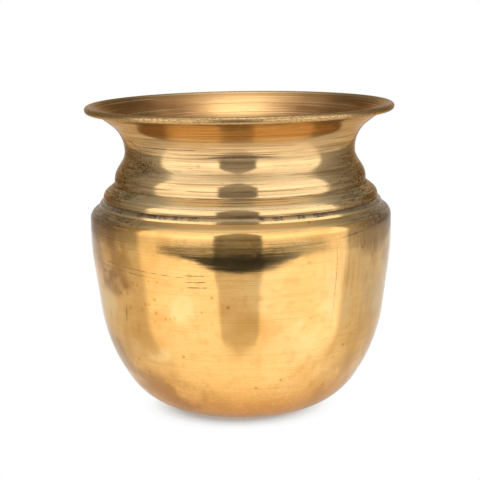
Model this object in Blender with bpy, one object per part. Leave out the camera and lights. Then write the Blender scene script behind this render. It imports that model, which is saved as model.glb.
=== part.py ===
"""Kalash pot: a brass water pot turned from two sheet shells that are brazed at a lapped seam.

The bowl's mouth ends in a collar, the neck's skirt fits over that collar, a film of brazing filler
runs through the lap and out to a fillet, and the mouth is rolled over a stiffening wire.
"""

import math

import bmesh
import bpy

# Widths in metres, each measured from the size before it
BELLY_RADIUS = 0.05135
BASE_INSET = 0.01885
LOWER_SIDE_INSET = 0.00435
SHOULDER_WIDTH = 0.00455
LOWER_STEP_WIDTH = 0.0040
UPPER_STEP_WIDTH = 0.0036
FLARE_WIDTH = 0.0133

# Rises in metres, stacked from the table to the top of the rim
LOWER_SIDE_RISE = 0.0240
TAPER_RISE = 0.0320
BELLY_RISE = 0.0122
SHOULDER_RISE = 0.0033
LOWER_STEP_RISE = 0.0032
LOWER_SLOPE_RISE = 0.0032
UPPER_STEP_RISE = 0.0032
UPPER_SLOPE_RISE = 0.0058
THROAT_RISE = 0.0077
FLARE_RISE = 0.0097

# Round corners: the share of a run that the bend at its end takes
BASE_BEND = 0.52
LOWER_SIDE_BEND = 0.40
TAPER_BEND = 0.39
SHOULDER_BEND = 0.16
LOWER_STEP_BEND = 0.48
CREASE_BEND = 0.25
UPPER_STEP_BEND = 0.66
NECK_BEND = 0.25
FLARE_BEND = 0.74

# Sheet, rolled rim and lapped seam
BOWL_WALL = 0.0008
NECK_WALL = 0.0006
WIRE_RADIUS = 0.0004
ROLL_SWEEP = math.radians(285)
FIT_GAP = 0.0002
FILLER_FILM = 0.0002
FILLET_REACH = 0.0014
FILLET_HOLLOW = 0.00012
COLLAR_BEND = 0.00025
COLLAR_SHARE = 0.45

# Fineness of the turned surfaces
SEGMENTS = 48
ARC_TOLERANCE = 0.00005
WIRE_SIDES = 8
SMOOTH_ANGLE = math.radians(40)

# Places that follow from the sizes above
LOWER_STEP_RADIUS = BELLY_RADIUS - SHOULDER_WIDTH
UPPER_STEP_RADIUS = LOWER_STEP_RADIUS - LOWER_STEP_WIDTH
THROAT_RADIUS = UPPER_STEP_RADIUS - UPPER_STEP_WIDTH
RIM_RADIUS = THROAT_RADIUS + FLARE_WIDTH
TAPER_HEIGHT = LOWER_SIDE_RISE + TAPER_RISE
SHOULDER_HEIGHT = TAPER_HEIGHT + BELLY_RISE
SEAM_HEIGHT = SHOULDER_HEIGHT + SHOULDER_RISE
LOWER_EDGE_HEIGHT = SEAM_HEIGHT + LOWER_STEP_RISE
UPPER_STEP_HEIGHT = LOWER_EDGE_HEIGHT + LOWER_SLOPE_RISE
UPPER_EDGE_HEIGHT = UPPER_STEP_HEIGHT + UPPER_STEP_RISE
THROAT_HEIGHT = UPPER_EDGE_HEIGHT + UPPER_SLOPE_RISE
FLARE_HEIGHT = THROAT_HEIGHT + THROAT_RISE
RIM_HEIGHT = FLARE_HEIGHT + FLARE_RISE

# Fits that follow from the sheet, the wire and the film
LAP = 2 * FIT_GAP + FILLER_FILM
ROLL_HOLE = WIRE_RADIUS + FIT_GAP
BEAD_RADIUS = ROLL_HOLE + NECK_WALL
BEAD_CENTRE = (RIM_RADIUS - BEAD_RADIUS, RIM_HEIGHT - BEAD_RADIUS)


def clear_scene():
    for item in list(bpy.data.objects):
        bpy.data.objects.remove(item, do_unlink=True)


def direction(start, end):
    length = math.hypot(end[0] - start[0], end[1] - start[1])
    return ((end[0] - start[0]) / length, (end[1] - start[1]) / length)


def inner_side(heading):
    """Left of the heading: towards the axis on an outline that runs up the outside."""
    return (-heading[1], heading[0])


def turn_between(arriving, leaving):
    """Angle turned at a corner, positive to the inner side."""
    cross = arriving[0] * leaving[1] - arriving[1] * leaving[0]
    return math.atan2(cross, arriving[0] * leaving[0] + arriving[1] * leaving[1])


def inset(corners, distance):
    """The same (radius, height, bend) corners for a line moved inwards by the distance."""
    moved = []
    last = len(corners) - 1
    for index, (radius, height, bend) in enumerate(corners):
        arriving = direction(corners[max(index - 1, 0)], corners[max(index, 1)])
        leaving = direction(corners[min(index, last - 1)], corners[min(index + 1, last)])
        shift = distance * math.tan(turn_between(arriving, leaving) / 2)
        side = inner_side(arriving)
        moved.append((
            radius + distance * side[0] - shift * arriving[0],
            height + distance * side[1] - shift * arriving[1],
            max(bend - shift, 0.0) if bend else 0.0,
        ))
    return moved


def arc(centre, radius, start, sweep):
    """Points of an arc, just close enough together for its chords to keep the tolerance."""
    step = 2 * math.acos(max(1 - ARC_TOLERANCE / radius, 0.0))
    count = math.ceil(abs(sweep) / step)
    angles = [start + sweep * index / count for index in range(count + 1)]
    return [(centre[0] + radius * math.cos(a), centre[1] + radius * math.sin(a)) for a in angles]


def rounded(corners):
    """Points of the line through the corners; an arc starts one bend before each bent corner."""
    points = [corners[0][:2]]
    for before, corner, after in zip(corners, corners[1:], corners[2:]):
        bend = corner[2]
        if not bend:
            points.append(corner[:2])
            continue
        arriving = direction(before, corner)
        turn = turn_between(arriving, direction(corner, after))
        begin = (corner[0] - bend * arriving[0], corner[1] - bend * arriving[1])
        reach = bend / math.tan(turn / 2)
        side = inner_side(arriving)
        centre = (begin[0] + reach * side[0], begin[1] + reach * side[1])
        start = math.atan2(begin[1] - centre[1], begin[0] - centre[0])
        points.extend(arc(centre, abs(reach), start, turn))
    points.append(corners[-1][:2])
    return points


def shoulder_height_at(radius):
    """Height of the sloping shoulder, and of its line carried on under the skirt."""
    return SHOULDER_HEIGHT + SHOULDER_RISE / SHOULDER_WIDTH * (BELLY_RADIUS - radius)


SKIRT_HEIGHT = shoulder_height_at(LOWER_STEP_RADIUS - NECK_WALL) + LAP
LOWER_STEP_CORNER = (LOWER_STEP_RADIUS, LOWER_EDGE_HEIGHT, LOWER_STEP_BEND * LOWER_STEP_RISE)


def lap_corners(foot_height):
    """Outer line of the neck over the lap: the skirt and part of the slope above it."""
    return [
        (LOWER_STEP_RADIUS, foot_height, 0.0),
        LOWER_STEP_CORNER,
        (
            LOWER_STEP_RADIUS - COLLAR_SHARE * LOWER_STEP_WIDTH,
            LOWER_EDGE_HEIGHT + COLLAR_SHARE * LOWER_SLOPE_RISE,
            0.0,
        ),
    ]


def collar_corners():
    """Outer line of the bowl's collar, which follows the neck at the width of the lap."""
    collar = inset(lap_corners(SKIRT_HEIGHT), NECK_WALL + LAP)
    collar_radius = collar[0][0]
    foot = (collar_radius, shoulder_height_at(collar_radius), COLLAR_BEND)
    return [foot] + collar[1:]


def bowl_outline():
    base_radius = BELLY_RADIUS - BASE_INSET
    lower_radius = BELLY_RADIUS - LOWER_SIDE_INSET
    lower_side = math.hypot(lower_radius - base_radius, LOWER_SIDE_RISE)
    outside = [
        (0.0, 0.0, 0.0),
        (base_radius, 0.0, BASE_BEND * lower_side),
        (lower_radius, LOWER_SIDE_RISE, LOWER_SIDE_BEND * lower_side),
        (BELLY_RADIUS, TAPER_HEIGHT, TAPER_BEND * BELLY_RISE),
        (BELLY_RADIUS, SHOULDER_HEIGHT, SHOULDER_BEND * BELLY_RISE),
    ] + collar_corners()
    inside = inset(outside, BOWL_WALL)
    return rounded(outside) + rounded(inside)[::-1]


def mouth_contact():
    """Where the flare's underside touches the hole of the roll, seen from the flare's corner."""
    run = BEAD_CENTRE[0] - THROAT_RADIUS
    rise = BEAD_CENTRE[1] - FLARE_HEIGHT
    heading = math.atan2(rise, run) + math.asin(ROLL_HOLE / math.hypot(run, rise))
    start = heading + math.pi / 2
    contact = (
        BEAD_CENTRE[0] + ROLL_HOLE * math.cos(start),
        BEAD_CENTRE[1] + ROLL_HOLE * math.sin(start),
    )
    return contact, start


def neck_outline():
    contact, start = mouth_contact()
    outside = [
        (LOWER_STEP_RADIUS, SKIRT_HEIGHT, 0.0),
        LOWER_STEP_CORNER,
        (UPPER_STEP_RADIUS, UPPER_STEP_HEIGHT, CREASE_BEND * LOWER_SLOPE_RISE),
        (UPPER_STEP_RADIUS, UPPER_EDGE_HEIGHT, UPPER_STEP_BEND * UPPER_STEP_RISE),
        (THROAT_RADIUS, THROAT_HEIGHT, NECK_BEND * THROAT_RISE),
        (THROAT_RADIUS, FLARE_HEIGHT, FLARE_BEND * THROAT_RISE),
        (*contact, 0.0),
    ]
    inside = inset(outside, NECK_WALL)
    hole = arc(BEAD_CENTRE, ROLL_HOLE, start, -ROLL_SWEEP)
    bead = arc(BEAD_CENTRE, BEAD_RADIUS, start - ROLL_SWEEP, ROLL_SWEEP)
    return rounded(outside)[:-1] + hole + bead + rounded(inside)[-2::-1]


def seam_outline():
    film_foot = SKIRT_HEIGHT - FIT_GAP
    film = rounded(inset(lap_corners(film_foot), NECK_WALL + FIT_GAP))
    toe_radius = LOWER_STEP_RADIUS + FILLET_REACH
    seat = [(toe_radius, shoulder_height_at(toe_radius), 0.0)] + collar_corners()
    underside = rounded(inset(seat, -FIT_GAP))
    toe = underside[0]
    lip = (LOWER_STEP_RADIUS, film_foot)
    crease_side = inner_side(direction(toe, lip))
    hollow = (
        (toe[0] + lip[0]) / 2 + FILLET_HOLLOW * crease_side[0],
        (toe[1] + lip[1]) / 2 + FILLET_HOLLOW * crease_side[1],
    )
    return film + underside[::-1] + [hollow, lip]


def wire_outline():
    angles = [2 * math.pi * side / WIRE_SIDES for side in range(WIRE_SIDES)]
    return [
        (BEAD_CENTRE[0] + WIRE_RADIUS * math.cos(a), BEAD_CENTRE[1] + WIRE_RADIUS * math.sin(a))
        for a in angles
    ]


def metal(name, colour, roughness):
    material = bpy.data.materials.new(name)
    material.use_nodes = True
    shader = material.node_tree.nodes["Principled BSDF"]
    shader.inputs["Base Color"].default_value = (*colour, 1.0)
    shader.inputs["Metallic"].default_value = 1.0
    shader.inputs["Roughness"].default_value = roughness
    return material


def turned(name, outline, material):
    """Turn a closed outline of (radius, height) points round the axis into one solid."""
    solid = bmesh.new()
    angles = [2 * math.pi * step / SEGMENTS for step in range(SEGMENTS)]
    rings = []
    for radius, height in outline:
        if radius == 0.0:
            rings.append([solid.verts.new((0.0, 0.0, height))] * SEGMENTS)
        else:
            rings.append([
                solid.verts.new((radius * math.cos(a), radius * math.sin(a), height)) for a in angles
            ])
    for ring, following in zip(rings, rings[1:] + rings[:1]):
        for step in range(SEGMENTS):
            beside = (step + 1) % SEGMENTS
            corners = [ring[step], ring[beside], following[beside], following[step]]
            face = list(dict.fromkeys(corners))
            if len(face) > 2:
                solid.faces.new(face)
    bmesh.ops.recalc_face_normals(solid, faces=solid.faces)
    mesh = bpy.data.meshes.new(name)
    solid.to_mesh(mesh)
    solid.free()
    mesh.materials.append(material)
    mesh.shade_smooth()
    mesh.set_sharp_from_angle(angle=SMOOTH_ANGLE)
    piece = bpy.data.objects.new(name, mesh)
    bpy.context.collection.objects.link(piece)
    return piece


clear_scene()
turned("bowl", bowl_outline(), metal("bowl_brass", (0.83, 0.55, 0.20), 0.22))
turned("neck", neck_outline(), metal("neck_brass", (0.83, 0.56, 0.22), 0.24))
turned("seam_braze", seam_outline(), metal("brazing_filler", (0.46, 0.40, 0.27), 0.5))
turned("rim_wire", wire_outline(), metal("wire_brass", (0.70, 0.48, 0.20), 0.35))
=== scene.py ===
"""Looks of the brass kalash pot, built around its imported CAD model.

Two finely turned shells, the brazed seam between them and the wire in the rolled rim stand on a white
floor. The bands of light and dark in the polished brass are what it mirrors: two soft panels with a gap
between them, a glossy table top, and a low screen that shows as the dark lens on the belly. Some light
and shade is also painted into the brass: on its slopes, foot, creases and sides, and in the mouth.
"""

import math

import bpy
from mathutils import Matrix, Vector, noise


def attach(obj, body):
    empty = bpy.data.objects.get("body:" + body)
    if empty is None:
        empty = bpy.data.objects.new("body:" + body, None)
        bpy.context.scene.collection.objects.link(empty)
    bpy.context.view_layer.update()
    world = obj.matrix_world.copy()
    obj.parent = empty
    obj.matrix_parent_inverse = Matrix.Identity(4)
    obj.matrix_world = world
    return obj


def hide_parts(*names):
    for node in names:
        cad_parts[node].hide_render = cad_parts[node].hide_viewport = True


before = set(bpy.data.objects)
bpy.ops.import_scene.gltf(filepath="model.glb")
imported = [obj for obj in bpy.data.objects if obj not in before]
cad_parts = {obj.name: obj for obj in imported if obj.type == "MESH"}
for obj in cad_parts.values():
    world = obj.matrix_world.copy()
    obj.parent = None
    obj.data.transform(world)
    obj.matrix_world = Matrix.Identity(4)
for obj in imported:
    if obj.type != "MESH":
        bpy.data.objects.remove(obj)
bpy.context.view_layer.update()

# Widths in metres, as in the CAD source, each measured from the size before it
BELLY_RADIUS = 0.05135
BASE_INSET = 0.01885
LOWER_SIDE_INSET = 0.00435
SHOULDER_WIDTH = 0.00455
LOWER_STEP_WIDTH = 0.0040
UPPER_STEP_WIDTH = 0.0036
FLARE_WIDTH = 0.0133

# Rises in metres, stacked from the table to the top of the rim
LOWER_SIDE_RISE = 0.0240
TAPER_RISE = 0.0320
BELLY_RISE = 0.0122
SHOULDER_RISE = 0.0033
LOWER_STEP_RISE = 0.0032
LOWER_SLOPE_RISE = 0.0032
UPPER_STEP_RISE = 0.0032
UPPER_SLOPE_RISE = 0.0058
THROAT_RISE = 0.0077
FLARE_RISE = 0.0097

# Round corners: the share of a run that the bend at its end takes
BASE_BEND = 0.52
LOWER_SIDE_BEND = 0.40
TAPER_BEND = 0.39
SHOULDER_BEND = 0.16
LOWER_STEP_BEND = 0.48
CREASE_BEND = 0.25
UPPER_STEP_BEND = 0.66
NECK_BEND = 0.25
FLARE_BEND = 0.74

# Sheet, rolled rim and lapped seam
BOWL_WALL = 0.0008
NECK_WALL = 0.0006
ROLL_HOLE = 0.0006
ROLL_SWEEP = math.radians(285)
LAP = 0.0006
FILLER_GAP = 0.00003
FILLET_REACH = 0.0014
FILLET_BULGE = 0.00040
COLLAR_BEND = 0.00025
COLLAR_SHARE = 0.45

# Fineness of the turned surfaces
SEGMENTS = 180
ARC_TOLERANCE = 0.000004
RING_SPACING = 0.0009
SMOOTH_ANGLE = math.radians(38)

# Errors of hand spinning: slow waves in the wall and ridges round it
WALL_WAVE = 0.00010
WALL_WAVES_ROUND = 1.6
WALL_WAVE_RISE = 0.030
RIDGE_HEIGHT = 0.000012
RIDGE_SPACING = 0.0030
WAVE_FADE = 0.006

# Places that follow from the sizes above
LOWER_STEP_RADIUS = BELLY_RADIUS - SHOULDER_WIDTH
UPPER_STEP_RADIUS = LOWER_STEP_RADIUS - LOWER_STEP_WIDTH
THROAT_RADIUS = UPPER_STEP_RADIUS - UPPER_STEP_WIDTH
RIM_RADIUS = THROAT_RADIUS + FLARE_WIDTH
TAPER_HEIGHT = LOWER_SIDE_RISE + TAPER_RISE
SHOULDER_HEIGHT = TAPER_HEIGHT + BELLY_RISE
SEAM_HEIGHT = SHOULDER_HEIGHT + SHOULDER_RISE
LOWER_EDGE_HEIGHT = SEAM_HEIGHT + LOWER_STEP_RISE
UPPER_STEP_HEIGHT = LOWER_EDGE_HEIGHT + LOWER_SLOPE_RISE
UPPER_EDGE_HEIGHT = UPPER_STEP_HEIGHT + UPPER_STEP_RISE
THROAT_HEIGHT = UPPER_EDGE_HEIGHT + UPPER_SLOPE_RISE
FLARE_HEIGHT = THROAT_HEIGHT + THROAT_RISE
RIM_HEIGHT = FLARE_HEIGHT + FLARE_RISE
BEAD_RADIUS = ROLL_HOLE + NECK_WALL
BEAD_CENTRE = (RIM_RADIUS - BEAD_RADIUS, RIM_HEIGHT - BEAD_RADIUS)

# Camera: place and aim in metres, lens and sensor in millimetres, roll clockwise in radians
CAMERA_PLACE = Vector((0.0, -0.500, 0.1472))
CAMERA_AIM = Vector((-0.00042, 0.0, 0.05699))
CAMERA_LENS = 110.40
CAMERA_SENSOR = 36.0
CAMERA_ROLL = 0.0160

# White floor that is seen: its reach in metres, and the two whites of its grain
FLOOR_REACH = 3.0
FLOOR_WHITES = ((0.99, 0.99, 0.99), (1.01, 1.01, 1.01))

# Shade on the floor where the pot stands, as a run of (metres from the shade's centre, share)
FLOOR_SHADE_CENTRE = (-0.0015, -0.0020, 0.0)
FLOOR_SHADE_COLOUR = (0.20, 0.12, 0.06)
FLOOR_SHADE = [(0.022, 0.70), (0.0265, 0.30), (0.030, 0.07), (0.034, 0.0)]

# Round table top that only the brass sees, in metres; it lies just under the floor
TABLE_RADIUS = 0.37
TABLE_DROP = 0.0003
TABLE_CORNERS = 96
TABLE_COLOUR = (0.88, 0.86, 0.80)
TABLE_IOR = 6.0

# Glow and roughness of the table top, as runs by metres from the axis
TABLE_GLOW = [(0.03, 0.30), (0.07, 0.15), (0.15, 0.08), (0.30, 0.05)]
TABLE_ROUGHNESS = [(0.05, 0.60), (0.10, 0.05)]

# Lamp on the table top alone: strength, and spread and tilt in degrees
LAMP_STRENGTH = 1.6
LAMP_SPREAD = 60
LAMP_TILT = 35

# Dark screen on the table in front of the pot, by its posts from left to right: azimuth from the front in
# degrees, distance from the axis and height in metres
SCREEN_POSTS = [
    (-62, 0.370, 0.0040), (-56, 0.360, 0.0075), (-44, 0.335, 0.0128), (-32, 0.279, 0.0202),
    (-20.5, 0.230, 0.0300), (0, 0.207, 0.0338), (20.5, 0.230, 0.0311), (32, 0.272, 0.0236),
    (43.5, 0.337, 0.0115), (56, 0.360, 0.0080), (66, 0.372, 0.0020),
]

# Colour of the screen, its brightness in the middle and at both ends, and half the widths in metres over
# which it is darkest and beyond which it is palest
SCREEN_COLOUR = (1.0, 1.25, 1.7)
SCREEN_LIGHT = 0.035
SCREEN_LEFT_LIGHT = 0.12
SCREEN_RIGHT_LIGHT = 0.36
SCREEN_DARK_HALF = 0.05
SCREEN_PALE_HALF = 0.25

# Studio round the pot: azimuths from the front and elevations, in degrees; a start or a top goes from none
# to full
PANEL_ENDS = (-83.0, 86.0)
PANEL_END_SOFTNESS = 4.0
PANEL_TOP = (68.0, 52.0)
GAP_CENTRE = -2.5
GAP_SIDE_SOFTNESS = 1.5
GAP_CLOSES = 55.0
GAP_TOP = (GAP_CLOSES, GAP_CLOSES - 8.0)
HIGH_START = (42.0, 60.0)
BACK_START = (140.0, 172.0)
BACK_TOP = (30.0, 10.0)

# Half the width of the gap between the panels, as a run of (elevation, azimuth) in degrees
GAP_HALF_WIDTH = [(-12, 18.5), (-5, 17.5), (8, 17.5), (22, 18.5), (36, 14.0), (46, 8.0), (GAP_CLOSES, 0.0)]

# Brightness of the studio, as runs of (degrees, brightness)
PANEL_LIGHT = [(-9, 1.15), (0, 1.60), (20, 1.60), (35, 1.25), (50, 1.20), (60, 0.75)]
GAP_LIGHT = [(-12, 0.46), (-10, 0.42), (-8.4, 0.12), (-7, 0.25), (12, 0.34), (50, 0.48)]
SIDE_LIGHT = [(84, 0.50), (104, 0.35), (128, 0.28)]
HIGH_LIGHT = [(60, 0.65), (84, 2.10)]
BACK_LIGHT = 0.55

# Stains on the belly: azimuth in degrees, height and radius in millimetres
STAINS = [
    (-44, 50, 0.9), (-42, 49.5, 0.7), (-39, 43.5, 0.9), (-37, 43.5, 0.7), (-34, 45.5, 0.8),
    (-47, 41.5, 0.9), (-41, 41.5, 0.8), (-34, 41, 0.9), (-36, 51.5, 0.6), (-32, 51.5, 0.6),
    (-48, 46, 0.8), (-44, 47, 0.7), (-30, 39.5, 0.8), (-28, 39.5, 0.6), (-26, 40, 0.7),
    (-18, 42.5, 0.6), (-15, 42.5, 0.6), (-44, 35.5, 0.8), (-44, 34, 0.8), (-35, 38, 0.7),
    (-11, 47.5, 0.6), (-27, 34, 0.6), (-24, 27, 0.9), (-49, 23, 0.9), (-52, 21, 0.8),
    (-49, 18, 0.9), (48, 31, 0.7), (44, 28, 0.8), (47, 27.5, 0.7), (46, 35, 0.7),
    (40, 24, 0.6), (16, 18.5, 0.8),
]

# Dark scratches: start and end as (azimuth in degrees, height in mm), and half the width in mm
SCRATCHES = [
    ((-72, 56.2), (-18, 53.6), 0.17), ((-72, 54.6), (-30, 52.6), 0.17), ((-72, 53), (-58, 51.4), 0.20),
    ((-20, 54.5), (-12, 54.6), 0.26), ((-20, 52.4), (-12, 52.6), 0.26), ((-20, 50.6), (-12, 50.8), 0.26),
    ((36.5, 60), (36, 38), 0.16), ((-49.8, 41.5), (-51, 36.5), 0.40),
    ((-58, 16), (-42, 5), 0.30), ((-54, 15), (-40, 5.5), 0.25), ((-62, 17), (-50, 7), 0.25),
    ((40, 64.6), (58, 66.2), 0.45), ((54, 66), (78, 67.6), 0.60), ((110, 48), (150, 44), 0.18),
    ((112, 46.5), (140, 43.5), 0.18), ((160, 30), (176, 52), 0.16), ((-140, 58), (-100, 55), 0.18),
    ((-168, 22), (-150, 12), 0.22),
]
NECK_SCRATCHES = [
    ((-66, 93.9), (-58, 92.5), 0.30), ((-58, 92.5), (-13, 92.6), 0.22), ((-64, 91), (-46, 89.6), 0.22),
]

# Brown and pale hazy patches on the belly: ranges of azimuth and height, and strength
BROWN_PATCHES = [
    ((-66, -46), (44, 53), 0.9), ((-85, -42), (46, 70), 0.7), ((-95, -14), (-2, 19), 0.9),
    ((-85, -52), (12, 30), 0.65), ((52, 95), (36, 70), 0.7), ((34, 80), (0, 24), 0.5),
    ((100, 150), (50, 62), 0.5), ((140, 175), (14, 36), 0.5), ((-150, -105), (8, 30), 0.55),
    ((-175, -140), (48, 64), 0.55),
]
HAZY_PATCHES = [
    ((-70, -55), (33, 46), 0.6), ((-46, -28), (24, 31), 0.6), ((-28, -14), (38, 48), 0.5),
    ((20, 38), (28, 46), 0.5), ((58, 76), (36, 52), 0.6), ((95, 130), (20, 40), 0.6),
    ((150, 178), (40, 54), 0.6), ((-130, -95), (36, 56), 0.6),
]

# Smudges on the neck and its steps: ranges of azimuth and height, colour and strength
NECK_SMUDGES = [
    ((-55, -44), (83.6, 88.5), (0.16, 0.10, 0.05), 0.7), ((64, 80), (77.5, 82.5), (0.14, 0.07, 0.03), 0.9),
    ((48, 66), (73, 81), (0.40, 0.32, 0.20), 0.50), ((-70, -52), (74, 80), (0.22, 0.12, 0.05), 0.7),
]

# Ground-in dirt on the neck and on the shoulder, partly painted shade: ranges of azimuth and height, and
# strength
NECK_GRIME_AND_SHADE = [
    ((54, 118), (82, 90), 0.6), ((48, 135), (77, 84.5), 0.85), ((44, 122), (71, 78.5), 0.85),
    ((-125, -48), (73, 82), 0.85), ((-115, -44), (79.5, 91.5), 0.75), ((-175, -135), (75, 85), 0.6),
]
BOWL_GRIME_AND_SHADE = [
    ((46, 140), (65.5, 73), 0.9), ((-120, -42), (65.5, 72.5), 0.9), ((-176, -140), (66, 72.5), 0.6),
]

# Creases of the neck that take painted shade: height and half the width, in millimetres
NECK_CREASES = [(101.4, 0.25), (91.2, 0.10), (79.9, 0.12), (77.7, 0.20), (72.8, 0.20)]

# Blotches of burnt flux along the front of the seam: ranges of azimuth; and the azimuths to either side
# where strewn ones set in
SEAM_BLOTCHES = [
    (-44, -40), (-39, -34), (-33, -29), (-27, -24.5), (-23.6, -22.4), (-20, -16), (6.7, 9), (12, 16),
    (22, 25), (29, 35),
]
STREWN_START = (46.0, 50.0)

# Brown drips and pale runs below the shoulder: ranges of azimuth and height
DRIPS = ((46, 70), (57, 69))
PALE_RUNS = ((30, 80), (34, 68))

# Share of tarnish on the neck, under its flare and on the seam, and of painted shade in its mouth, as runs
# of (azimuth to either side in degrees, share)
SIDE_TARNISH = [(20, 0.15), (50, 0.60)]
INSIDE_SHADE = [(60, 0.60), (110, 0.95), (150, 0.75), (170, 0.10)]
FLARE_TARNISH = [(20, 0.42), (35, 0.34), (52, 0.05), (70, 0.30), (120, 0.70)]
SEAM_TARNISH = [(45, 0.85), (70, 0.45)]

# Heights in millimetres between which a finish or a painted shade sets in, from none to full
FOOT_START = (24.0, 4.0)
SEAM_START = (71.4, 71.7)
MOUTH_START = (84.0, 93.0)
FLARE_START = (88.5, 95.0)
UNDER_RIM_START = (101.0, 103.5)
RIM_START = (101.6, 102.0)

# Metals, and the colour that the neck keeps where it is seen at a slant
BOWL_BRASS = (0.86, 0.51, 0.175)
NECK_BRASS = (0.80, 0.54, 0.26)
NECK_EDGE_TINT = (0.90, 0.68, 0.48)
FILLER_BRASS = (0.80, 0.52, 0.22)
WIRE_BRASS = (0.63, 0.43, 0.16)
WIRE_TARNISH = (0.50, 0.33, 0.12)

# Marks and tarnish of the belly, and painted shade at its foot
STAIN_COLOUR = (0.60, 0.24, 0.03)
FLECK_COLOUR = (0.42, 0.18, 0.04)
BROWN_COLOUR = (0.38, 0.18, 0.05)
HAZE_COLOUR = (0.92, 0.66, 0.30)
FOOT_SHADE_COLOUR = (0.52, 0.26, 0.07)
DRIP_COLOUR = (0.30, 0.11, 0.03)
PALE_RUN_COLOUR = (0.72, 0.56, 0.30)

# Marks and tarnish of the neck and the seam, and painted shade in its mouth, under its rim and in its
# creases
SIDE_COLOUR = (0.30, 0.16, 0.06)
FLARE_COLOUR = (0.36, 0.17, 0.05)
MOUTH_SHADE_COLOUR = (0.50, 0.22, 0.08)
MOUTH_SHADE_PATCH_COLOUR = (0.30, 0.12, 0.04)
UNDER_RIM_SHADE_COLOUR = (0.30, 0.15, 0.06)
RIM_COLOURS = ((0.56, 0.36, 0.155), (0.34, 0.20, 0.08))
CREASE_SHADE_COLOUR = (0.10, 0.06, 0.03)
SEAM_COLOURS = ((0.30, 0.22, 0.13), (0.46, 0.35, 0.21))
BURNT_FLUX_COLOUR = (0.07, 0.06, 0.06)

# Scratches, and dirt that is partly painted shade, on both shells; the depth is in microns
SCRATCH_COLOUR = (0.13, 0.09, 0.06)
SCRATCH_DEPTH = 5.0
DIRT_AND_SHADE_COLOUR = (0.36, 0.19, 0.07)
CRUMB_COLOUR = (0.12, 0.06, 0.02)

# Milled marks round the rim: waves per radian, and height in microns
RIM_MARKS = 725.0
RIM_MARK_HEIGHT = 9.0


def direction(start, end):
    length = math.dist(start[:2], end[:2])
    return ((end[0] - start[0]) / length, (end[1] - start[1]) / length)


def inner_side(heading):
    """Left of the heading: towards the axis on an outline that runs up the outside."""
    return (-heading[1], heading[0])


def turn_between(arriving, leaving):
    """Angle turned at a corner, positive to the inner side."""
    cross = arriving[0] * leaving[1] - arriving[1] * leaving[0]
    return math.atan2(cross, arriving[0] * leaving[0] + arriving[1] * leaving[1])


def inset(corners, distance):
    """The same (radius, height, bend) corners for a line moved inwards by the distance."""
    moved = []
    last = len(corners) - 1
    for index, (radius, height, bend) in enumerate(corners):
        arriving = direction(corners[max(index - 1, 0)], corners[max(index, 1)])
        leaving = direction(corners[min(index, last - 1)], corners[min(index + 1, last)])
        shift = distance * math.tan(turn_between(arriving, leaving) / 2)
        side = inner_side(arriving)
        moved.append((
            radius + distance * side[0] - shift * arriving[0],
            height + distance * side[1] - shift * arriving[1],
            max(bend - shift, 0.0) if bend else 0.0,
        ))
    return moved


def arc(centre, radius, start, sweep):
    """Points of an arc, just close enough together for its chords to keep the tolerance."""
    step = 2 * math.acos(max(1 - ARC_TOLERANCE / radius, 0.0))
    count = math.ceil(abs(sweep) / step)
    angles = [start + sweep * index / count for index in range(count + 1)]
    return [(centre[0] + radius * math.cos(a), centre[1] + radius * math.sin(a)) for a in angles]


def rounded(corners):
    """Points of the line through the corners; an arc starts one bend before each bent corner."""
    points = [corners[0][:2]]
    for before, corner, after in zip(corners, corners[1:], corners[2:]):
        bend = corner[2]
        if not bend:
            points.append(corner[:2])
            continue
        arriving = direction(before, corner)
        turn = turn_between(arriving, direction(corner, after))
        begin = (corner[0] - bend * arriving[0], corner[1] - bend * arriving[1])
        reach = bend / math.tan(turn / 2)
        side = inner_side(arriving)
        centre = (begin[0] + reach * side[0], begin[1] + reach * side[1])
        start = math.atan2(begin[1] - centre[1], begin[0] - centre[0])
        points.extend(arc(centre, abs(reach), start, turn))
    points.append(corners[-1][:2])
    return points


def dense(points):
    """The same line with points added so that none are further apart than the ring spacing."""
    filled = [points[0]]
    for start, end in zip(points, points[1:]):
        count = max(math.ceil(math.dist(start, end) / RING_SPACING), 1)
        for index in range(1, count + 1):
            share = index / count
            filled.append((
                start[0] + share * (end[0] - start[0]),
                start[1] + share * (end[1] - start[1]),
            ))
    return filled


def shoulder_height_at(radius):
    """Height of the sloping shoulder, and of its line carried on under the skirt."""
    return SHOULDER_HEIGHT + SHOULDER_RISE / SHOULDER_WIDTH * (BELLY_RADIUS - radius)


SKIRT_HEIGHT = shoulder_height_at(LOWER_STEP_RADIUS - NECK_WALL) + LAP
LOWER_STEP_CORNER = (LOWER_STEP_RADIUS, LOWER_EDGE_HEIGHT, LOWER_STEP_BEND * LOWER_STEP_RISE)


def lap_corners(foot_height):
    """Outer line of the neck over the lap: the skirt and part of the slope above it."""
    return [
        (LOWER_STEP_RADIUS, foot_height, 0.0),
        LOWER_STEP_CORNER,
        (
            LOWER_STEP_RADIUS - COLLAR_SHARE * LOWER_STEP_WIDTH,
            LOWER_EDGE_HEIGHT + COLLAR_SHARE * LOWER_SLOPE_RISE,
            0.0,
        ),
    ]


def collar_corners():
    """Outer line of the bowl's collar, which follows the neck at the width of the lap."""
    collar = inset(lap_corners(SKIRT_HEIGHT), NECK_WALL + LAP)
    collar_radius = collar[0][0]
    foot = (collar_radius, shoulder_height_at(collar_radius), COLLAR_BEND)
    return [foot] + collar[1:]


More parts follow.
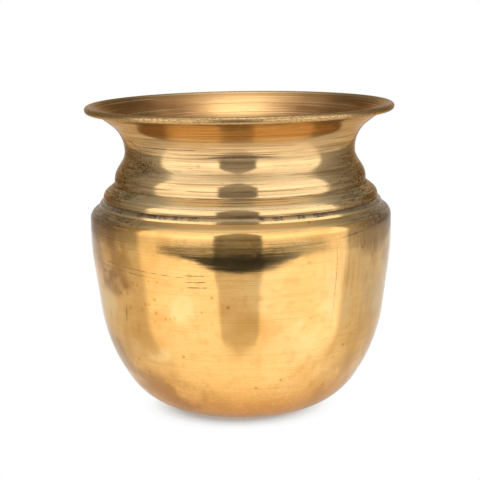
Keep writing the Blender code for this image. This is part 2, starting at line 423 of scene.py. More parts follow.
def bowl_outline():
    """Outside of the bowl from the axis to the top of the collar, and its inside back to the axis."""
    base_radius = BELLY_RADIUS - BASE_INSET
    lower_radius = BELLY_RADIUS - LOWER_SIDE_INSET
    lower_side = math.hypot(lower_radius - base_radius, LOWER_SIDE_RISE)
    outside = [
        (0.0, 0.0, 0.0),
        (base_radius, 0.0, BASE_BEND * lower_side),
        (lower_radius, LOWER_SIDE_RISE, LOWER_SIDE_BEND * lower_side),
        (BELLY_RADIUS, TAPER_HEIGHT, TAPER_BEND * BELLY_RISE),
        (BELLY_RADIUS, SHOULDER_HEIGHT, SHOULDER_BEND * BELLY_RISE),
    ] + collar_corners()
    inside = inset(outside, BOWL_WALL)
    return dense(rounded(outside)), dense(rounded(inside)[::-1])


def mouth_contact():
    """Where the flare's underside touches the hole of the roll, seen from the flare's corner."""
    run = BEAD_CENTRE[0] - THROAT_RADIUS
    rise = BEAD_CENTRE[1] - FLARE_HEIGHT
    heading = math.atan2(rise, run) + math.asin(ROLL_HOLE / math.hypot(run, rise))
    start = heading + math.pi / 2
    contact = (
        BEAD_CENTRE[0] + ROLL_HOLE * math.cos(start),
        BEAD_CENTRE[1] + ROLL_HOLE * math.sin(start),
    )
    return contact, start


def neck_outline():
    """Outside of the neck from the skirt to the rolled edge and round it, and the inside back down."""
    contact, start = mouth_contact()
    outside = [
        (LOWER_STEP_RADIUS, SKIRT_HEIGHT, 0.0),
        LOWER_STEP_CORNER,
        (UPPER_STEP_RADIUS, UPPER_STEP_HEIGHT, CREASE_BEND * LOWER_SLOPE_RISE),
        (UPPER_STEP_RADIUS, UPPER_EDGE_HEIGHT, UPPER_STEP_BEND * UPPER_STEP_RISE),
        (THROAT_RADIUS, THROAT_HEIGHT, NECK_BEND * THROAT_RISE),
        (THROAT_RADIUS, FLARE_HEIGHT, FLARE_BEND * THROAT_RISE),
        (*contact, 0.0),
    ]
    inside = inset(outside, NECK_WALL)
    hole = arc(BEAD_CENTRE, ROLL_HOLE, start, -ROLL_SWEEP)
    bead = arc(BEAD_CENTRE, BEAD_RADIUS, start - ROLL_SWEEP, ROLL_SWEEP)
    mouth = dense([bead[-1]] + rounded(inside)[-2::-1])[1:]
    return dense(rounded(outside)[:-1] + hole) + bead, mouth


def bulging_curve(start, end, depth):
    """Arc from start to end that swells by the depth to the right of the straight way between them."""
    half = math.dist(start, end) / 2
    radius = (half * half + depth * depth) / (2 * depth)
    side = inner_side(direction(start, end))
    centre = (
        (start[0] + end[0]) / 2 + (radius - depth) * side[0],
        (start[1] + end[1]) / 2 + (radius - depth) * side[1],
    )
    first = math.atan2(start[1] - centre[1], start[0] - centre[0])
    return arc(centre, radius, first, 2 * math.asin(half / radius))


def seam_outline():
    """Film in the lap between skirt and collar, and the swelling fillet at its foot."""
    film_foot = SKIRT_HEIGHT - FILLER_GAP
    film = rounded(inset(lap_corners(film_foot), NECK_WALL + FILLER_GAP))
    toe_radius = LOWER_STEP_RADIUS + FILLET_REACH
    seat = [(toe_radius, shoulder_height_at(toe_radius), 0.0)] + collar_corners()
    underside = rounded(inset(seat, -FILLER_GAP))
    toe = underside[0]
    lip = (LOWER_STEP_RADIUS, film_foot)
    return film + underside[::-1] + bulging_curve(toe, lip, FILLET_BULGE)[1:]


def fade(value, low, high):
    """Smooth step from 0 at low to 1 at high."""
    share = min(max((value - low) / (high - low), 0.0), 1.0)
    return share * share * (3 - 2 * share)


def wall_wave(azimuth, height):
    """Radial error of a hand-spun wall: a slow wave round the pot and up it."""
    place = Vector((
        WALL_WAVES_ROUND * math.cos(azimuth),
        WALL_WAVES_ROUND * math.sin(azimuth),
        height / WALL_WAVE_RISE,
    ))
    return WALL_WAVE * noise.noise(place)


def ridge(along):
    """Radial error of the ridges that the spinning tool leaves, by the way along the outline."""
    return RIDGE_HEIGHT * noise.noise(Vector((along / RIDGE_SPACING, 0.0, 0.0)))


def bowl_error(azimuth, height, along):
    """Wave and ridges of the bowl, none on its flat base and none at the seam."""
    share = fade(height, 0.0, WAVE_FADE) * fade(height, SHOULDER_HEIGHT, SHOULDER_HEIGHT - WAVE_FADE)
    return share * (wall_wave(azimuth, height) + ridge(along))


def neck_error(azimuth, height, along):
    """Wave and ridges of the neck, none at the seam and none at the rim."""
    share = fade(height, LOWER_EDGE_HEIGHT, LOWER_EDGE_HEIGHT + WAVE_FADE)
    share *= fade(height, BEAD_CENTRE[1] - BEAD_RADIUS, BEAD_CENTRE[1] - BEAD_RADIUS - WAVE_FADE)
    return share * (wall_wave(azimuth, height) + ridge(along))


def no_error(azimuth, height, along):
    return 0.0


def placed(name, data):
    """New object of the scene."""
    thing = bpy.data.objects.new(name, data)
    bpy.context.scene.collection.objects.link(thing)
    return thing


def ring_places(radius, height, along, error):
    """Points of one ring: a single one on the axis, otherwise one at each step round it."""
    if radius < ARC_TOLERANCE:
        return [(0.0, 0.0, height)]
    places = []
    for step in range(SEGMENTS):
        azimuth = 2 * math.pi * step / SEGMENTS
        reach = radius + error(azimuth, height, along)
        places.append((reach * math.cos(azimuth), reach * math.sin(azimuth), height))
    return places


def faces_between(rings):
    """Faces from each ring of point numbers to the next, and from the last to the first."""
    faces = []
    for ring, following in zip(rings, rings[1:] + rings[:1]):
        for step in range(SEGMENTS):
            beside = (step + 1) % SEGMENTS
            corners = dict.fromkeys([ring[step], ring[beside], following[beside], following[step]])
            if len(corners) > 2:
                faces.append(list(corners))
    return faces


def turned(name, outside, inside, error):
    """Turn a closed outline round the axis, keeping at each point the way along the outline."""
    places = []
    rings = []
    ways = []
    inner = []
    along = 0.0
    before = outside[0]
    for index, (radius, height) in enumerate(outside + inside):
        along += math.dist(before, (radius, height))
        before = (radius, height)
        ring = ring_places(radius, height, along, error)
        rings.append([len(places) + step % len(ring) for step in range(SEGMENTS)])
        places.extend(ring)
        ways.extend([along] * len(ring))
        inner.extend([float(index >= len(outside))] * len(ring))
    mesh = bpy.data.meshes.new(name)
    mesh.from_pydata(places, [], faces_between(rings))
    for label, values in (("along", ways), ("inner", inner)):
        mesh.attributes.new(label, "FLOAT", "POINT").data.foreach_set("value", values)
    mesh.shade_smooth()
    mesh.set_sharp_from_angle(angle=SMOOTH_ANGLE)
    return placed(name, mesh)


class Graph:
    """Short calls that add nodes to a tree and join them."""

    def __init__(self, tree):
        self.tree = tree
        tree.nodes.clear()

    def join(self, socket, value):
        """Link another socket to this one, or set this one's own constant."""
        if isinstance(value, bpy.types.NodeSocket):
            self.tree.links.new(value, socket)
        elif socket.type == "RGBA":
            socket.default_value = (*value, 1.0)
        else:
            socket.default_value = value

    def node(self, kind, inputs=None, **settings):
        made = self.tree.nodes.new("ShaderNode" + kind)
        for name, value in settings.items():
            setattr(made, name, value)
        for key, value in (inputs or {}).items():
            self.join(made.inputs[key], value)
        return made

    def math(self, operation, *values):
        return self.node("Math", dict(enumerate(values)), operation=operation).outputs[0]

    def times(self, *values):
        product = values[0]
        for value in values[1:]:
            product = self.math("MULTIPLY", product, value)
        return product

    def ramp(self, value, low, high):
        """0 at low and 1 at high, smooth between; high may be the smaller of the two."""
        inputs = {"Value": value, "From Min": low, "From Max": high}
        return self.node("MapRange", inputs, interpolation_type="SMOOTHSTEP").outputs["Result"]

    def band(self, value, low, high, soft):
        """1 from low to high, with soft ends."""
        rise = self.ramp(value, low - soft, low + soft)
        return self.times(rise, self.ramp(value, high + soft, high - soft))

    def run(self, value, points):
        """Number that goes straight from each (value, result) point to the next, level beyond them."""
        result = points[0][1]
        for (low, before), (high, after) in zip(points, points[1:]):
            inputs = {"Value": value, "From Min": low, "From Max": high, "To Max": after - before}
            result = self.math("ADD", result, self.node("MapRange", inputs).outputs["Result"])
        return result

    def mix(self, share, first, second):
        """The first colour where the share is 0 and the second where it is 1."""
        made = self.node("Mix", {0: share, 6: first, 7: second}, data_type="RGBA")
        return made.outputs[2]

    def blend(self, share, first, second):
        """The first number where the share is 0 and the second where it is 1."""
        made = self.node("Mix", {0: share, 2: first, 3: second}, data_type="FLOAT")
        return made.outputs[0]

    def grey(self, value):
        return self.node("CombineColor", {0: value, 1: value, 2: value}).outputs[0]

    def vector(self, x, y, z):
        return self.node("CombineXYZ", {0: x, 1: y, 2: z}).outputs[0]

    def noise(self, vector, scale=1.0, detail=2.0):
        inputs = {"Vector": vector, "Scale": scale, "Detail": detail}
        return self.node("TexNoise", inputs).outputs["Fac"]

    def surface(self, shader):
        self.join(self.node("OutputMaterial").inputs["Surface"], shader.outputs[0])


def new_material(name):
    material = bpy.data.materials.new(name)
    material.use_nodes = True
    return material, Graph(material.node_tree)


class PotPlaces:
    """Where a point of the pot is: azimuth from the front, height, and the way along the outline."""

    def __init__(self, graph):
        self.graph = graph
        self.position = graph.node("TexCoord").outputs["Object"]
        x, y, z = graph.node("SeparateXYZ", {0: self.position}).outputs
        self.turn = graph.math("ARCTAN2", x, graph.math("MULTIPLY", y, -1.0))
        self.azimuth = graph.math("DEGREES", self.turn)
        self.aside = graph.math("ABSOLUTE", self.azimuth)
        self.height = graph.math("MULTIPLY", z, 1000.0)
        self.right = graph.math("SINE", self.turn)
        self.front = graph.math("COSINE", self.turn)
        way = graph.node("Attribute", attribute_name="along").outputs["Fac"]
        self.along = graph.math("MULTIPLY", way, 1000.0)
        self.inner = graph.node("Attribute", attribute_name="inner").outputs["Fac"]
        self.outer = graph.math("SUBTRACT", 1.0, self.inner)
        normal = graph.node("NewGeometry").outputs["Normal"]
        self.facing_up = graph.node("SeparateXYZ", {0: normal}).outputs[2]

    def lathe(self, around, across):
        """Noise place drawn out round the pot: features per radian, and per millimetre up the wall."""
        graph = self.graph
        return graph.vector(
            graph.times(self.right, around),
            graph.times(self.front, around),
            graph.times(self.along, across),
        )


class FlatWall:
    """A wall of the pot laid flat: millimetres round it from the front, and millimetres up."""

    def __init__(self, places, radius):
        self.graph = places.graph
        self.radius = radius * 1000.0
        self.flat = self.graph.vector(self.graph.times(places.turn, self.radius), places.height, 0.0)

    def point(self, azimuth, height):
        return Vector((math.radians(azimuth) * self.radius, height, 0.0))

    def measure(self, operation, *vectors):
        made = self.graph.node("VectorMath", dict(enumerate(vectors)), operation=operation)
        return made.outputs["Value"]

    def spot(self, place, radius, edge):
        """1 on a ragged round spot at a place of (azimuth, height)."""
        away = self.measure("DISTANCE", self.flat, self.point(*place))
        ragged = self.graph.math("MULTIPLY_ADD", edge, radius, away)
        return self.graph.ramp(ragged, radius * 1.6, radius * 0.5)

    def stroke(self, start, end, width):
        """1 on a straight thin mark between two places of (azimuth, height)."""
        graph = self.graph
        begin = self.point(*start)
        way = self.point(*end) - begin
        length = way.length
        heading = way.normalized()
        aside = Vector((-heading.y, heading.x, 0.0))
        along = self.measure("DOT_PRODUCT", self.flat, heading)
        across = graph.math("SUBTRACT", self.measure("DOT_PRODUCT", self.flat, aside), begin.dot(aside))
        line = graph.ramp(graph.math("ABSOLUTE", across), width, width * 0.3)
        first = begin.dot(heading)
        return graph.times(line, graph.band(along, first, first + length, length / 5))

    def patch(self, azimuths, heights):
        """1 on a soft oval that fills a range of azimuths and heights."""
        low = self.point(azimuths[0], heights[0])
        high = self.point(azimuths[1], heights[1])
        scale = Vector((2 / (high.x - low.x), 2 / (high.y - low.y), 0.0))
        shift = -scale * (low + high) / 2
        made = self.graph.node("VectorMath", {0: self.flat, 1: scale, 2: shift}, operation="MULTIPLY_ADD")
        return self.graph.ramp(self.measure("LENGTH", made.outputs["Vector"]), 1.35, 0.65)


class Finish:
    """Colour, roughness and relief of one metal surface, changed layer by layer."""

    def __init__(self, name, colour, roughness, brushed=0.55, edge_tint=(1.0, 1.0, 1.0)):
        self.brushed = brushed
        self.edge_tint = edge_tint
        self.material, self.graph = new_material(name)
        self.places = PotPlaces(self.graph)
        self.colour = colour
        self.roughness = roughness
        self.relief = 0.0

    def cover(self, mask, colour, roughness=None):
        """Lay a colour, and a roughness if one is given, where the mask is 1."""
        self.colour = self.graph.mix(mask, self.colour, colour)
        if roughness is not None:
            self.roughness = self.graph.blend(mask, self.roughness, roughness)

    def raise_by(self, mask, microns):
        self.relief = self.graph.math("MULTIPLY_ADD", mask, microns, self.relief)

    def done(self):
        """Metal shader with marks that run round the pot, so it is rougher up the wall than round it."""
        graph = self.graph
        tangent = graph.node("Tangent", direction_type="RADIAL", axis="Z").outputs[0]
        bump = graph.node("Bump", {"Height": self.relief, "Distance": 1e-6}).outputs[0]
        graph.surface(graph.node("BsdfPrincipled", {
            "Base Color": self.colour,
            "Metallic": 1.0,
            "Specular Tint": self.edge_tint,
            "Roughness": self.roughness,
            "Normal": bump,
            "Tangent": tangent,
            "Anisotropic": self.brushed,
            "Anisotropic Rotation": 0.25,
        }))
        return self.material


def shade(colour, *factors):
    return tuple(value * factor for value, factor in zip(colour, factors))


def lathe_marks(finish, clean, strength, depth=1.0):
    """Fine lines round the wall: darker streaks and threads, grain, and shallow relief in microns."""
    graph, places = finish.graph, finish.places
    rings = graph.noise(places.lathe(around=0.8, across=0.9))
    lines = graph.noise(places.lathe(around=2.5, across=4.0))
    hair = graph.noise(places.lathe(around=7.0, across=11.0))
    grain = graph.noise(places.position, scale=1900.0)
    streaks = graph.times(graph.ramp(lines, 0.50, 0.72), strength)
    threads = graph.times(graph.ramp(hair, 0.55, 0.75), strength)
    specks = graph.times(graph.ramp(grain, 0.50, 0.75), 0.35)
    finish.cover(streaks, shade(clean, 0.62, 0.58, 0.50), roughness=0.16)
    finish.cover(threads, shade(clean, 0.70, 0.68, 0.66))
    finish.cover(specks, shade(clean, 0.70, 0.64, 0.56))
    for pattern, microns in ((rings, 12.0), (lines, 6.0), (hair, 2.4)):
        finish.raise_by(pattern, microns * strength * depth)


def tool_lines(finish, clean, strength):
    """Sharp dark and bright lines that run far round the wall, and short dark scuffs."""
    graph, places = finish.graph, finish.places
    dark = graph.ramp(graph.noise(places.lathe(around=0.7, across=1.5), detail=3.0), 0.57, 0.63)
    bright = graph.ramp(graph.noise(places.lathe(around=0.9, across=1.9), detail=3.0), 0.58, 0.64)
    scuffs = graph.ramp(graph.noise(places.lathe(around=9.0, across=2.4)), 0.66, 0.71)
    finish.cover(graph.times(bright, 0.6 * strength), shade(clean, 1.10, 1.20, 1.45), roughness=0.06)
    finish.cover(graph.times(dark, 0.75 * strength), shade(clean, 0.50, 0.42, 0.32), roughness=0.18)
    finish.cover(graph.times(scuffs, 0.6 * strength), shade(clean, 0.42, 0.34, 0.28), roughness=0.25)
    finish.raise_by(dark, -6.0 * strength)


def crease_shade(finish):
    """Dark painted shade in the creases of the neck, broken here and there."""
    graph, places = finish.graph, finish.places
    patchy = graph.ramp(graph.noise(places.lathe(around=3.0, across=0.8), detail=3.0), 0.34, 0.56)
    for height, width in NECK_CREASES:
        line = graph.band(places.height, height - width, height + width, width)
        finish.cover(graph.times(line, patchy, places.outer, 0.8), CREASE_SHADE_COLOUR, roughness=0.4)


def tarnish_clouds(finish, clean):
    """Slow brown clouds, pale hazy ones where polish has dried, and fine mottling."""
    graph, places = finish.graph, finish.places
    brown = graph.ramp(graph.noise(places.position, scale=42.0, detail=5.0), 0.48, 0.70)
    pale = graph.ramp(graph.noise(places.position, scale=30.0, detail=4.0), 0.52, 0.68)
    mottled = graph.ramp(graph.noise(places.position, scale=330.0, detail=7.0), 0.50, 0.70)
    finish.cover(graph.times(brown, 0.8), shade(clean, 0.76, 0.66, 0.50))
    finish.cover(graph.times(pale, 0.6), shade(clean, 1.06, 1.18, 1.40), roughness=0.14)
    finish.cover(graph.times(mottled, 0.45), shade(clean, 0.80, 0.72, 0.60), roughness=0.10)
    finish.raise_by(graph.noise(places.position, scale=320.0), 9.0)


def dull_slopes_painted_light(finish, colour):
    """Slopes that face up are out of the buffing wheel's reach, so they are dull; their colour is painted
    light.
    """
    graph, places = finish.graph, finish.places
    slope = graph.times(graph.ramp(places.facing_up, 0.45, 0.70), places.outer)
    finish.cover(graph.times(slope, 0.85), colour, roughness=0.40)


def dull_inside_and_mouth_shade(finish, clean):
    """Duller metal inside, with red-brown painted shade at the sides of the mouth, none at its back, and
    under the rim.
    """
    graph, places = finish.graph, finish.places
    patches = graph.ramp(graph.noise(places.lathe(around=1.5, across=0.12), detail=3.0), 0.40, 0.62)
    share = graph.run(places.aside, INSIDE_SHADE)
    sides = graph.times(places.inner, share, graph.ramp(places.height, *MOUTH_START))
    under_rim = graph.times(places.inner, graph.ramp(places.height, *UNDER_RIM_START), 0.7)
    finish.cover(places.inner, shade(clean, 1.00, 0.92, 0.80), roughness=0.16)
    finish.cover(sides, MOUTH_SHADE_COLOUR, roughness=0.18)
    finish.cover(graph.times(sides, patches), MOUTH_SHADE_PATCH_COLOUR, roughness=0.22)
    finish.cover(under_rim, UNDER_RIM_SHADE_COLOUR, roughness=0.25)


def tarnished_flare(finish):
    """Brown tarnish under the flare, streaked round it, and brown patches towards the neck's sides."""
    graph, places = finish.graph, finish.places
    streaks = graph.run(graph.noise(places.lathe(around=1.2, across=1.4)), [(0.3, 0.6), (0.7, 1.4)])
    share = graph.run(places.aside, FLARE_TARNISH)
    under = graph.times(graph.ramp(places.height, *FLARE_START), places.outer, share, streaks)
    finish.cover(under, FLARE_COLOUR, roughness=0.34)
    brown = graph.ramp(graph.noise(places.lathe(around=2.0, across=1.1), detail=4.0), 0.42, 0.62)
    sides = graph.times(graph.run(places.aside, SIDE_TARNISH), places.outer, brown)
    finish.cover(sides, SIDE_COLOUR, roughness=0.22)


def dirt_and_shade(finish, wall, grime_and_shade):
    """Brown dirt with dark crumbs, left where the wheel didn't reach; it also paints shade."""
    graph, places = finish.graph, finish.places
    rubbed = graph.ramp(graph.noise(places.lathe(around=6.0, across=1.6), detail=4.0), 0.40, 0.60)
    crumbs = graph.ramp(graph.noise(places.lathe(around=24.0, across=1.2), detail=3.0), 0.54, 0.64)
    for azimuths, heights, strength in grime_and_shade:
        patch = graph.times(wall.patch(azimuths, heights), places.outer, strength)
        finish.cover(graph.times(patch, rubbed), DIRT_AND_SHADE_COLOUR, roughness=0.30)
        finish.cover(graph.times(patch, crumbs), CRUMB_COLOUR, roughness=0.40)


def flecks(finish, amount):
    """Small stains strewn all round by chance."""
    graph, places = finish.graph, finish.places
    cells = graph.node("TexVoronoi", {"Vector": places.position, "Scale": 230.0})
    chance = graph.node("SeparateColor", {0: cells.outputs["Color"]}).outputs[0]
    near = graph.ramp(cells.outputs["Distance"], 0.22, 0.08)
    finish.cover(graph.times(near, graph.ramp(chance, 0.90, 0.92), amount), FLECK_COLOUR, roughness=0.3)


def scratched(finish, wall, scratches, broken):
    """Dark scratches cut into the wall, each only where the mask leaves it unbroken."""
    graph = finish.graph
    for start, end, width in scratches:
        scratch = graph.times(wall.stroke(start, end, width), broken, 0.85)
        finish.cover(scratch, SCRATCH_COLOUR, roughness=0.3)
        finish.raise_by(scratch, -SCRATCH_DEPTH)


def belly_stains(finish, wall):
    """Ragged rust stains, and broken scratches across them."""
    graph, places = finish.graph, finish.places
    edge = graph.noise(places.position, scale=900.0)
    for azimuth, height, radius in STAINS:
        spot = wall.spot((azimuth, height), radius, edge)
        finish.cover(graph.times(spot, 0.85), STAIN_COLOUR, roughness=0.2)
    broken = graph.ramp(graph.noise(places.lathe(around=16.0, across=1.0)), 0.32, 0.55)
    scratched(finish, wall, SCRATCHES, broken)


def belly_patches(finish, wall):
    """Cloudy brown patches, and pale ones where polish has dried to a haze."""
    graph = finish.graph
    cloud = graph.ramp(graph.noise(finish.places.position, scale=110.0, detail=7.0), 0.36, 0.60)
    kinds = ((BROWN_PATCHES, BROWN_COLOUR, 0.16), (HAZY_PATCHES, HAZE_COLOUR, 0.20))
    for patches, colour, roughness in kinds:
        for azimuths, heights, strength in patches:
            patch = graph.times(wall.patch(azimuths, heights), cloud, strength)
            finish.cover(patch, colour, roughness)


def shaded_foot(finish):
    """Brown painted shade, mottled, that thickens towards the base."""
    graph, places = finish.graph, finish.places
    mottled = graph.ramp(graph.noise(places.position, scale=900.0), 0.05, 0.55)
    foot = graph.times(graph.ramp(places.height, *FOOT_START), mottled, 0.62)
    finish.cover(foot, FOOT_SHADE_COLOUR, roughness=0.14)


def belly_drips(finish, wall):
    """Brown drips just below the shoulder, and pale runs that reach further down."""
    graph, places = finish.graph, finish.places
    drawn_down = graph.vector(places.azimuth, graph.times(places.height, 0.05), 0.0)
    streaks = graph.ramp(graph.noise(drawn_down, scale=0.7), 0.38, 0.56)
    finish.cover(graph.times(wall.patch(*DRIPS), streaks, 0.9), DRIP_COLOUR, roughness=0.3)
    finish.cover(graph.times(wall.patch(*PALE_RUNS), streaks, 0.4), PALE_RUN_COLOUR, roughness=0.2)


def neck_marks(finish, wall):
    """Broken scratches and speckled smudges of the neck."""
    graph, places = finish.graph, finish.places
    broken = graph.ramp(graph.noise(places.lathe(around=14.0, across=1.0)), 0.30, 0.50)
    scratched(finish, wall, NECK_SCRATCHES, graph.times(broken, places.outer))
    speckled = graph.ramp(graph.noise(places.position, scale=1400.0), 0.48, 0.60)
    for azimuths, heights, colour, strength in NECK_SMUDGES:
        patch = graph.times(wall.patch(azimuths, heights), places.outer, speckled, strength)
        finish.cover(patch, colour, roughness=0.35)


def rim_marks(finish):
    """Olive, milled outside of the rolled rim."""
    graph, places = finish.graph, finish.places
    rim = graph.times(graph.ramp(places.height, *RIM_START), places.outer)
    streaks = graph.noise(places.lathe(around=55.0, across=3.0))
    olive = graph.mix(graph.ramp(streaks, 0.40, 0.65), *RIM_COLOURS)
    finish.cover(graph.times(rim, 0.9), olive, roughness=0.2)
    chatter = graph.math("SINE", graph.times(places.turn, RIM_MARKS))
    milled = graph.times(rim, chatter, graph.ramp(streaks, 0.35, 0.60))
    finish.raise_by(milled, RIM_MARK_HEIGHT)


def polished_bowl():
    """Bright spun brass with faint lathe lines, dirt, stains and drips, and painted light and shade."""
    finish = Finish("bowl_brass", BOWL_BRASS, roughness=0.06)
    wall = FlatWall(finish.places, BELLY_RADIUS)
    dull_inside_and_mouth_shade(finish, BOWL_BRASS)
    tarnish_clouds(finish, BOWL_BRASS)
    lathe_marks(finish, BOWL_BRASS, strength=0.30, depth=2.0)
    # Painted light: the colour of the bowl's up-facing slopes
    dull_slopes_painted_light(finish, shade(BOWL_BRASS, 0.78, 0.95, 1.25))
    tool_lines(finish, BOWL_BRASS, strength=0.12)
    dirt_and_shade(finish, wall, BOWL_GRIME_AND_SHADE)
    flecks(finish, amount=0.7)
    belly_stains(finish, wall)
    belly_patches(finish, wall)
    shaded_foot(finish)
    belly_drips(finish, wall)
    return finish.done()


def polished_neck():
    """Paler spun brass with strong lathe lines, tarnish, dirt and scratches, and painted light and shade.
    """
    finish = Finish("neck_brass", NECK_BRASS, roughness=0.10, brushed=0.75, edge_tint=NECK_EDGE_TINT)
    wall = FlatWall(finish.places, THROAT_RADIUS)
    dull_inside_and_mouth_shade(finish, NECK_BRASS)
    tarnished_flare(finish)
    lathe_marks(finish, NECK_BRASS, strength=0.65)
    # Painted light: the colour of the neck's up-facing slopes
    dull_slopes_painted_light(finish, shade(NECK_BRASS, 1.12, 1.38, 1.65))
    tool_lines(finish, NECK_BRASS, strength=0.85)
    dirt_and_shade(finish, wall, NECK_GRIME_AND_SHADE)
    crease_shade(finish)
    flecks(finish, amount=0.3)
    neck_marks(finish, wall)
    rim_marks(finish)
    return finish.done()


def flux_blotches(graph, places):
    """1 on the blotches of burnt flux: at their places in front, strewn by chance further round."""
    chance = graph.ramp(graph.noise(places.lathe(around=9.0, across=0.5), detail=3.0), 0.50, 0.60)
    blotches = graph.times(chance, graph.ramp(places.aside, *STREWN_START))
    for azimuths in SEAM_BLOTCHES:
        blotches = graph.math("MAXIMUM", blotches, graph.band(places.azimuth, *azimuths, soft=0.6))
    crumbs = graph.ramp(graph.noise(places.lathe(around=60.0, across=3.0)), 0.42, 0.56)
    return graph.times(blotches, crumbs)


def brazing_filler():
    """Grey-green filler with dark blotches of burnt flux above, polished with the shoulder below."""
    finish = Finish("brazing_filler", FILLER_BRASS, roughness=0.14)
    graph, places = finish.graph, finish.places
    lathe_marks(finish, FILLER_BRASS, strength=0.5)
    grain = graph.noise(places.position, scale=1500.0)
    upper = graph.ramp(graph.math("MULTIPLY_ADD", grain, 0.5, places.height), *SEAM_START)
    dull = graph.times(upper, graph.run(places.aside, SEAM_TARNISH))
    finish.cover(dull, graph.mix(grain, *SEAM_COLOURS), roughness=0.30)
    burnt = graph.times(upper, flux_blotches(graph, places), 0.9)
    finish.cover(burnt, BURNT_FLUX_COLOUR, roughness=0.4)
    finish.raise_by(graph.times(upper, grain), 40.0)
    return finish.done()


def drawn_wire():
    """Dull drawn brass of the wire inside the roll."""
    finish = Finish("drawn_wire", WIRE_BRASS, roughness=0.35)
    grain = finish.graph.noise(finish.places.position, scale=1500.0)
    finish.cover(finish.graph.ramp(grain, 0.40, 0.65), WIRE_TARNISH, roughness=0.45)
    finish.raise_by(grain, 15.0)
    return finish.done()


def dress(piece, node, material):
    """Give a shell its material and let it stand for a node of the CAD model."""
    piece.data.materials.append(material)
    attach(piece, "root")
    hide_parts(node)


def staged(name, corners, faces, material):
    """A mesh of the studio that isn't part of the pot."""
    mesh = bpy.data.meshes.new(name)
    mesh.from_pydata(corners, [], faces)
    mesh.materials.append(material)
    thing = placed(name, mesh)
    return thing


def build_floor():
    """White floor that is seen behind the pot but not in the brass, shaded where the pot stands on it."""
    material, graph = new_material("floor")
    place = graph.node("TexCoord").outputs["Object"]
    distance = graph.node("VectorMath", {0: place, 1: FLOOR_SHADE_CENTRE}, operation="DISTANCE")
    shaded = graph.run(distance.outputs["Value"], FLOOR_SHADE)
    white = graph.mix(graph.noise(place, scale=260.0), *FLOOR_WHITES)
    colour = graph.mix(shaded, white, FLOOR_SHADE_COLOUR)
    graph.surface(graph.node("Emission", {"Color": colour}))
    corners = [(x * FLOOR_REACH, y * FLOOR_REACH, 0.0) for x, y in ((-1, -1), (1, -1), (1, 1), (-1, 1))]
    floor = staged("floor", corners, [(0, 1, 2, 3)], material)
    floor.visible_glossy = False
    floor.visible_shadow = False
    floor.visible_diffuse = False


def build_table():
    """Pale glossy round table top that the brass reflects, lightest round the pot."""
    material, graph = new_material("table_top")
    place = graph.node("TexCoord").outputs["Object"]
    away = graph.node("VectorMath", {0: place}, operation="LENGTH").outputs["Value"]
    graph.surface(graph.node("BsdfPrincipled", {
        "Base Color": TABLE_COLOUR,
        "Roughness": graph.run(away, TABLE_ROUGHNESS),
        "IOR": TABLE_IOR,
        "Emission Color": TABLE_COLOUR,
        "Emission Strength": graph.run(away, TABLE_GLOW),
    }))
    angles = [2 * math.pi * corner / TABLE_CORNERS for corner in range(TABLE_CORNERS)]
    corners = [(TABLE_RADIUS * math.cos(a), TABLE_RADIUS * math.sin(a), -TABLE_DROP) for a in angles]
    table = staged("table_top", corners, [list(range(TABLE_CORNERS))], material)
    table.visible_camera = False
    return table


def build_screen():
    """Low dark screen across the table, seen only in the brass: the dark lens high on the belly."""
    material, graph = new_material("dark_screen")
    x = graph.node("SeparateXYZ", {0: graph.node("TexCoord").outputs["Object"]}).outputs[0]
    left = graph.ramp(x, -SCREEN_DARK_HALF, -SCREEN_PALE_HALF)
    right = graph.ramp(x, SCREEN_DARK_HALF, SCREEN_PALE_HALF)
    light = graph.blend(right, graph.blend(left, SCREEN_LIGHT, SCREEN_LEFT_LIGHT), SCREEN_RIGHT_LIGHT)
    dark = graph.node("Emission", {"Color": SCREEN_COLOUR, "Strength": light}).outputs[0]
    clear = graph.node("BsdfTransparent").outputs[0]
    mirrored_twice = graph.math("GREATER_THAN", graph.node("LightPath").outputs["Ray Depth"], 1.5)
    graph.surface(graph.node("MixShader", {0: mirrored_twice, 1: dark, 2: clear}))
    corners = []
    for azimuth, distance, height in SCREEN_POSTS:
        across = distance * math.sin(math.radians(azimuth))
        ahead = -distance * math.cos(math.radians(azimuth))
        corners.append((across, ahead, 0.0))
        corners.append((across, ahead, height))
    faces = [(2 * c, 2 * c + 2, 2 * c + 3, 2 * c + 1) for c in range(len(SCREEN_POSTS) - 1)]
    screen = staged("dark_screen", corners, faces, material)
    screen.visible_camera = False
    screen.visible_shadow = False
    screen.visible_diffuse = False


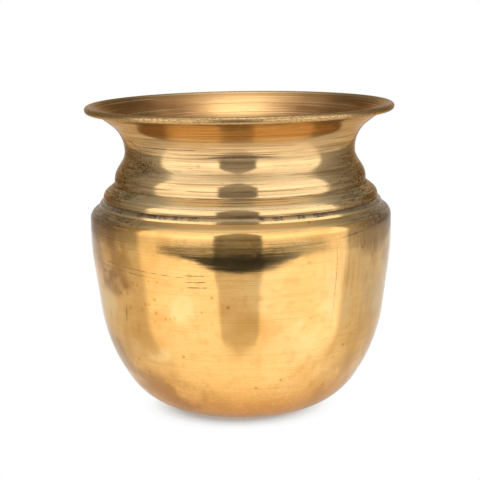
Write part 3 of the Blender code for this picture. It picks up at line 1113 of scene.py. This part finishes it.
def studio_light(graph):
    """Brightness by direction: dim sides, a pale back, a high light, the panels and the gap."""
    x, y, z = graph.node("SeparateXYZ", {0: graph.node("TexCoord").outputs["Generated"]}).outputs
    azimuth = graph.math("DEGREES", graph.math("ARCTAN2", x, graph.math("MULTIPLY", y, -1.0)))
    elevation = graph.math("DEGREES", graph.math("ARCSINE", z))
    aside = graph.math("ABSOLUTE", azimuth)
    low_back = graph.times(graph.ramp(aside, *BACK_START), graph.ramp(elevation, *BACK_TOP))
    between_ends = graph.band(azimuth, *PANEL_ENDS, PANEL_END_SOFTNESS)
    panels = graph.times(between_ends, graph.ramp(elevation, *PANEL_TOP))
    from_gap = graph.math("ABSOLUTE", graph.math("SUBTRACT", azimuth, GAP_CENTRE))
    beyond_gap = graph.math("SUBTRACT", from_gap, graph.run(elevation, GAP_HALF_WIDTH))
    within_gap = graph.ramp(beyond_gap, GAP_SIDE_SOFTNESS, -GAP_SIDE_SOFTNESS)
    gap = graph.times(within_gap, graph.ramp(elevation, *GAP_TOP))
    light = graph.run(aside, SIDE_LIGHT)
    light = graph.blend(low_back, light, BACK_LIGHT)
    light = graph.blend(graph.ramp(elevation, *HIGH_START), light, graph.run(elevation, HIGH_LIGHT))
    light = graph.blend(panels, light, graph.run(elevation, PANEL_LIGHT))
    return graph.blend(gap, light, graph.run(elevation, GAP_LIGHT))


def build_world():
    """The studio's light on the pot, and plain white where it is seen directly."""
    world = bpy.data.worlds.new("studio")
    world.use_nodes = True
    bpy.context.scene.world = world
    graph = Graph(world.node_tree)
    seen = graph.node("LightPath").outputs["Is Camera Ray"]
    colour = graph.mix(seen, graph.grey(studio_light(graph)), (1.0, 1.0, 1.0))
    background = graph.node("Background", {"Color": colour})
    graph.join(graph.node("OutputWorld").inputs["Surface"], background.outputs[0])


def light_table(table):
    """Broad soft lamp from the front on the table top alone: it doesn't show in the brass."""
    lamp = bpy.data.lights.new("table_lamp", "SUN")
    lamp.energy = LAMP_STRENGTH
    lamp.angle = math.radians(LAMP_SPREAD)
    holder = placed("table_lamp", lamp)
    holder.rotation_euler = (math.radians(LAMP_TILT), 0.0, 0.0)
    holder.visible_glossy = False
    receivers = bpy.data.collections.new("lamp_receivers")
    receivers.objects.link(table)
    holder.light_linking.receiver_collection = receivers


def build_camera():
    camera = placed("camera", bpy.data.cameras.new("camera"))
    camera.data.lens = CAMERA_LENS
    camera.data.sensor_width = CAMERA_SENSOR
    looking = (CAMERA_AIM - CAMERA_PLACE).to_track_quat("-Z", "Y").to_matrix().to_4x4()
    roll = Matrix.Rotation(-CAMERA_ROLL, 4, "Z")
    camera.matrix_world = Matrix.Translation(CAMERA_PLACE) @ looking @ roll
    bpy.context.scene.camera = camera


build_camera()
build_world()
build_screen()
build_floor()
light_table(build_table())

bowl = turned("bowl_shell", *bowl_outline(), bowl_error)
neck = turned("neck_shell", *neck_outline(), neck_error)
seam = turned("seam_filler", seam_outline(), [], no_error)
dress(bowl, "bowl", polished_bowl())
dress(neck, "neck", polished_neck())
dress(seam, "seam_braze", brazing_filler())
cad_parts["rim_wire"].material_slots[0].material = drawn_wire()

bpy.context.scene.view_settings.view_transform = "Standard"
